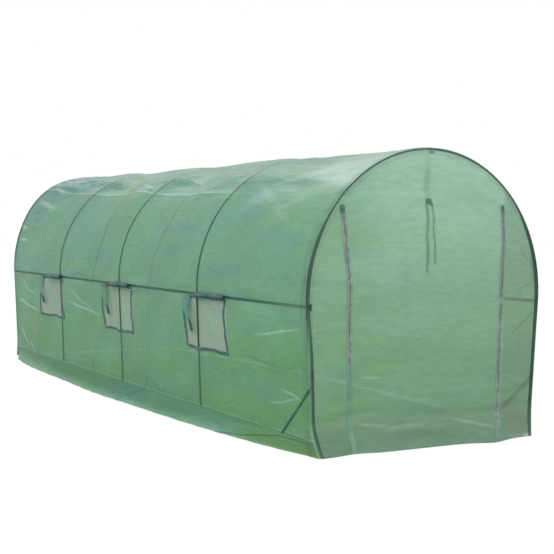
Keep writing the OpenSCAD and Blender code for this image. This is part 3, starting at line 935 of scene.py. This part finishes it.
# How far an end sheet stands out from the end hoop's face, at x and z
def endOut(x, z, flare):
    edge = edgeAcross(np.minimum(z, archCentre))
    rim = np.where(z > archCentre, archRadius - np.hypot(x, z - archCentre), edge - np.abs(x))
    rim = np.clip(rim, 0, None)
    free = np.minimum(1, rim / 0.25)
    waves = np.zeros_like(x)
    for tilt, wave, phase in endWaves:
        waves += np.sin((z * math.cos(tilt) + x * math.sin(tilt)) * wave + phase) / wave
    crumple = np.sin(z * 52 + 3 * np.sin(x * 4)) * 0.006 * smooth(0.42, 0.1, z) * smooth(0.0, 0.06, z)
    belly = endSheet["belly"] * free * np.sin(np.pi * np.clip(z / 1.9, 0, 1))
    return belly + (waves * 0.03 + crumple) * free + flare(x) * footOut(z)


def endPoint(x, z, facing, lift=0.0):
    flare = frontFlare if facing < 0 else rearFlare
    y = facing * (abs(frontRow) + filmOut + endOut(x, z, flare) + lift)
    if facing < 0:
        x = x - cover["tuck"] * smooth(0.2, 0.93, x) * footOut(z)
    else:
        angle = np.arctan2(z - archCentre, np.abs(x))
        off = shoulder(np.sign(x) * (math.pi / 2 - angle) * filmRadius, np.full_like(x, rearRow))
        share = off * np.clip(np.hypot(x, z - archCentre) / archRadius, 0, 1) ** 3
        x = x + np.sign(x) * share * np.cos(angle)
        z = z + share * np.sin(angle)
    return np.stack([x, y, z + 0.003 * (z < 0.003)], -1)


# The grid's lower half is upright rows up to the arch's springing, the upper half a squared-up half disc
def placeEnd(facing):
    def place(u, v):
        a = -u * facing
        edge = edgeAcross(np.clip(v, 0, 1) * archCentre)
        b = np.clip(v - 1, 0, 1)
        low = v <= 1
        x = np.where(low, a * edge, archRadius * a * np.sqrt(1 - b * b / 2))
        z = np.where(low, v * archCentre, archCentre + archRadius * b * np.sqrt(1 - a * a / 2))
        return endPoint(x, z, facing)
    return place


columns = [-1 + 2 * i / endSheet["columns"] for i in range(endSheet["columns"] + 1)]
rows = [i / endSheet["rows"] for i in range(2 * endSheet["rows"] + 1)]


# Painted shading: the end sheets are drawn darker towards the ground and a little lighter at the top
def endPaintedShading(u, v):
    return np.interp(v, [0, 0.05, 0.13, 0.3, 0.8, 1.9], [0.54, 0.56, 0.66, 0.90, 0.98, 1.04])


# Painted green light of the grass on the end sheets, most low down
def endGrassLight(u, v):
    return np.interp(v, [0, 0.1, 0.3, 0.8, 1.3], [0.7, 0.75, 0.7, 0.5, 0.15])


def endCrumple(u, v):
    return 0.12 + 0.5 * (1 - smooth(0.1, 0.35, v)) + 0.3 * smooth(1.5, 1.9, v)


frontSheet = sewSheet("door_end_sheet", columns, rows, placeEnd(-1), (), endPaintedShading, endCrumple, endGrassLight)
rearSheet = sewSheet("rear_end_sheet", columns, rows, placeEnd(1), (), endPaintedShading, endCrumple, endGrassLight)
finishPiece(frontSheet, endFilm)
finishPiece(rearSheet, endFilm)
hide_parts("front_cover_left", "front_cover_right", "front_cover_top", "door_panel",
            "skirt_front")
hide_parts("rear_cover", "skirt_rear")
print("end sheets sewn")

windowDetail = {"tape": 0.022, "overlap": 0.008}


# A strip of cover laid over the film between two girths or two rows, wavy as it was sewn
def windowStrip(name, side, lowGirth, highGirth, near, far, lift, wobble, bow=0.0, step=0.012):
    gs = stations([min(side * lowGirth, side * highGirth), max(side * lowGirth, side * highGirth)], step)
    ys = stations([near, far], step)
    phase = near * 7 + lowGirth * 3

    def place(u, v):
        tall = (np.abs(u) - lowGirth) / (highGirth - lowGirth)
        shiftG = wobble * (np.sin(v * 17 + phase) + 0.5 * np.sin(v * 41 + phase * 2))
        shiftY = wobble * (np.sin(u * 13 + phase) + 0.5 * np.sin(u * 37 + phase))
        shiftY = bow * np.sin(np.pi * np.clip(tall, 0, 1) ** 0.7) + shiftY
        return coverPoint(u + shiftG, v + shiftY, lift)
    return sewSheet(name, gs, ys, place)


nets = []
tapes = []
for index, (side, top, low, near, far) in enumerate(windowSpans):
    lap = windowDetail["overlap"]
    nets.append(windowStrip(f"net_{index}", side, top - lap, low + lap, near - lap, far + lap, 0.0006,
                            0.0, step=0.02))
    w = windowDetail["tape"]
    strips = ((top - 0.9 * w, top - 0.35 * w, near - w, far + w, 0.004, 0.002),
              (low, low + w * 0.95, near - w, far + w, 0.004, 0.004),
              (top, low, near - w, near, 0.0042, 0.006, 0.045),
              (top, low, far, far + w, 0.0042, 0.006, 0.035))
    for letter, strip in zip("abcd", strips):
        tapes.append(windowStrip(f"tape_{index}_{letter}", side, *strip))
leftNets = finishPiece(joinPieces(nets[:3], "window_netting_left"), netting)
rightNets = finishPiece(joinPieces(nets[3:], "window_netting_right"), netting)
leftTapes = joinPieces(tapes[:12], "window_tape_left")
rightTapes = joinPieces(tapes[12:], "window_tape_right")
for piece in (leftTapes, rightTapes):
    finishPiece(piece, windowTape, 40, 0.002)
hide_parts("window_nets_left")
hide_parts("window_nets_right")
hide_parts("window_tapes_left")
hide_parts("window_tapes_right")


# The flap that shuts a window is rolled up under the side rail. Its far end has slipped and hangs down.
flap = {
    "height": 0.38,
    "turns": 5.4,
    "core": 0.0045,
    "outer": 0.0185,
    "ahead": (0.035, 0.012, 0.012),      # how far a roll reaches past its window, front window first
    "rolledShare": (0.66, 0.62, 0.58),
    "tailWide": 0.11,
    "tailLong": 0.27,
}


def rolledFlap(name, side, near, far):
    arc = [i / 100 for i in range(101)]
    rows = stations([near, far], 0.02)
    girth = wallGirth(sideRail.z + 0.004)

    def place(u, v):
        t = (v - near) / (far - near)
        size = flap["core"] + (flap["outer"] - flap["core"]) * (1 - u)
        size = size * (1 + 0.08 * np.sin(v * 23) + 0.10 * (1 - t)) * smooth(-0.12, 0.1, t)
        theta = (u * flap["turns"] * math.tau + 0.6) * side
        droop = side * (0.007 * t + 0.003 * np.sin(v * 19))
        base = coverPoint(side * girth + droop, v, 0.006 + flap["outer"])
        return base + np.stack([size * np.cos(theta) * side, 0 * size, size * np.sin(theta)], -1)
    # the roll's painted shading is a little darker, varying along it
    return sewSheet(name, arc, rows, place, (), lambda u, v: 0.80 + 0.12 * np.sin(v * 30),
                    lambda u, v: 0.4 + 0 * u, lambda u, v: 0.8 + 0 * u)


def hangingTail(name, side, far):
    widths = [-1 + i / 5 for i in range(11)]
    drops = [i / 20 for i in range(21)]
    top = wallGirth(sideRail.z - 0.012)

    def place(u, v):
        half = flap["tailWide"] / 2 * (1 - 0.55 * smooth(0.1, 0.8, v))
        row = far - 0.065 - 0.085 * v ** 2 + u * half + 0.008 * np.sin(v * 7)
        stand = 0.010 + 0.022 * np.sin(np.pi * v) ** 2 + 0.012 * u ** 2 + 0.014 * v ** 3
        return coverPoint(side * (top + v * flap["tailLong"]), row, stand)
    # the tail is drawn darker towards its lower end
    return sewSheet(name, widths, drops, place, (), lambda u, v: 0.96 - 0.45 * smooth(0.6, 0.8, v),
                    lambda u, v: 0.6 + 0 * u, lambda u, v: 0.35 + 0.5 * smooth(0.6, 0.8, v))


flapPieces = []
for index, (side, top, low, near, far) in enumerate(windowSpans):
    end = near + (far - near) * flap["rolledShare"][index % 3]
    start = near - flap["ahead"][index % 3]
    flapPieces.append([rolledFlap(f"roll_{index}", side, start, end),
                       hangingTail(f"tail_{index}", side, far)])
leftRolls = joinPieces([p for pair in flapPieces[:3] for p in pair], "window_flaps_left")
rightRolls = joinPieces([p for pair in flapPieces[3:] for p in pair], "window_flaps_right")
for piece in (leftRolls, rightRolls):
    finishPiece(piece, rolledFilm)
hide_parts("window_rolls_left")
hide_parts("window_rolls_right")
print("windows made")

door = {
    "tape": 0.040,
    "shorter": {-1: 0.045, 1: 0.012},     # how far each zip stops below the top of their box
}
zipTops = {side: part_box("door_zips")[1].z - less for side, less in door["shorter"].items()}


def zipAcross(side, z):
    if side < 0:
        return np.interp(z, [0, 0.12, 0.43, 0.74, 1.0, 1.2, 1.35, 1.54, 1.6],
                         [-0.655, -0.650, -0.663, -0.678, -0.681, -0.691, -0.707, -0.735, -0.745])
    return np.interp(z, [0, 0.03, 0.07, 0.15, 0.35, 0.52, 0.7, 0.86, 1.0, 1.2, 1.36, 1.6],
                     [0.505, 0.525, 0.585, 0.602, 0.608, 0.602, 0.600, 0.622, 0.625, 0.619, 0.625, 0.620])


def zipStrip(name, side, inner, outer, lift, step=0.012):
    offsets = stations([inner, outer], step)
    heights = stations([0.006, zipTops[side]], 0.02)

    def place(u, v):
        return endPoint(zipAcross(side, v) + u, v, -1, lift)
    return sewSheet(name, offsets, heights, place)


half = door["tape"] / 2
zipTapes = []
zipCoils = []
for side in (-1, 1):
    zipTapes.append(zipStrip(f"zip_tape_{side}_a", side, -half, -0.003, 0.0022))
    zipTapes.append(zipStrip(f"zip_tape_{side}_b", side, 0.003, half, 0.0022))
    zipCoils.append(zipStrip(f"zip_coil_{side}", side, -0.0045, 0.0045, 0.0030, 0.003))
zipTapePiece = finishPiece(joinPieces(zipTapes, "door_zip_tapes"), zipTape, 40, 0.0015)
zipCoilPiece = finishPiece(joinPieces(zipCoils, "door_zip_coils"), zipCoil, 40, 0.003)
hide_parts("door_zips")


def clothPatch(name, centreX, lowZ, wide, high, lift):
    us = stations([centreX - wide / 2, centreX + wide / 2], 0.007)
    vs = stations([lowZ, lowZ + high], 0.007)

    def place(u, v):
        curl = 0.004 * ((u - centreX) / wide * 2) ** 4
        return endPoint(u, v, -1, lift + curl)
    return sewSheet(name, us, vs, place)


patches = []
for side, wide, high in ((-1, 0.032, 0.05), (1, 0.026, 0.046)):
    end = zipTops[side]
    patches.append(clothPatch(f"patch_{side}", float(zipAcross(side, end)) - 0.004, end - 0.008, wide,
                              high, 0.004))
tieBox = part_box("door_tie")
tieTop = tieBox[1].z
patches.append(clothPatch("tie_patch", -0.041, tieTop - 0.09, 0.042, 0.036, 0.005))
patchPiece = finishPiece(joinPieces(patches, "zip_end_patches"), patchCloth, 40, 0.0018)
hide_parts("zip_patches")


def ribbon(name, topX, bottomX, high, low, wide, lift):
    us = stations([-wide / 2, wide / 2], 0.005)
    vs = stations([low, high], 0.012)

    def place(u, v):
        t = (high - v) / (high - low)
        turn = 0.9 * np.sin(t * 7)
        x = topX + (bottomX - topX) * t + 0.004 * np.sin(t * 9) + u * np.cos(turn)
        return endPoint(x, v, -1, lift + np.abs(u * np.sin(turn)) + 0.002)
    return sewSheet(name, us, vs, place)


leftTie = ribbon("door_tie_left_ribbon", -0.057, -0.054, tieTop - 0.08, tieBox[0].z - 0.09, 0.018, 0.003)
rightTie = ribbon("door_tie_right_ribbon", -0.012, 0.010, tieTop - 0.08, tieBox[0].z - 0.035, 0.010,
                  0.003)
for piece, material in ((leftTie, paleRibbon), (rightTie, ribbonCloth)):
    finishPiece(piece, material, 40, 0.0012)
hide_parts("door_tie")
print("door made")

# A bolt goes through each place where a side or bottom rail meets a hoop, with its head inside the
# tunnel. Wing nuts stand in front of the door end's left leg.
bolt = {"head": 0.0075, "depth": 0.006, "wings": (0.018, 0.013)}


def boltHead(place, aim):
    deselectAll()
    bpy.ops.mesh.primitive_cylinder_add(vertices=6, radius=bolt["head"], depth=bolt["depth"])
    head = bpy.context.object
    turned = Vector(aim).to_track_quat("Z", "Y").to_matrix().to_4x4()
    head.matrix_world = Matrix.Translation(place) @ turned
    bpy.ops.object.transform_apply(location=True, rotation=True, scale=True)
    addModifier(head, "BEVEL", width=0.001, segments=2)
    return head


def wingNut(place, size):
    deselectAll()
    bpy.ops.mesh.primitive_cylinder_add(vertices=20, radius=0.006, depth=0.012)
    hub = bpy.context.object
    wings = []
    for turn in (-1, 1):
        deselectAll()
        bpy.ops.mesh.primitive_uv_sphere_add(segments=16, ring_count=10, radius=1)
        wing = bpy.context.object
        wing.scale = (size * 0.62, 0.0022, size * 0.5)
        wing.rotation_euler = (0, -0.5 * turn, 0)
        wing.location = (turn * size * 0.75, 0, 0.005)
        bpy.ops.object.transform_apply(location=True, rotation=True, scale=True)
        wings.append(wing)
    nut = joinPieces([hub] + wings, "wing_nut")
    tilt = Vector((0, -1, 0)).to_track_quat("Z", "X").to_matrix().to_4x4()
    nut.matrix_world = Matrix.Translation(place) @ tilt
    pickOnly(nut)
    bpy.ops.object.transform_apply(location=True, rotation=True, scale=True)
    return nut


fixings = []
for side in (-1, 1):
    for row in hoopRows:
        for rail in (sideRail, bottomRail):
            place = (side * (abs(rail.x) - tubeRadius - bolt["depth"] / 2), row, rail.z + 0.006)
            fixings.append(boltHead(place, (-side, 0, 0)))
for z, size in zip((sideRail.z, 0.52), bolt["wings"]):
    x = float(edgeAcross(np.array(z))) - 0.012
    front = endPoint(np.array([-x]), np.array([z]), -1, 0.010)[0]
    fixings.append(wingNut(tuple(front), size))
fixingPiece = joinPieces(fixings, "bolts_and_wing_nuts")
finishPiece(fixingPiece, boltSteel, 30)
print("bolts placed")
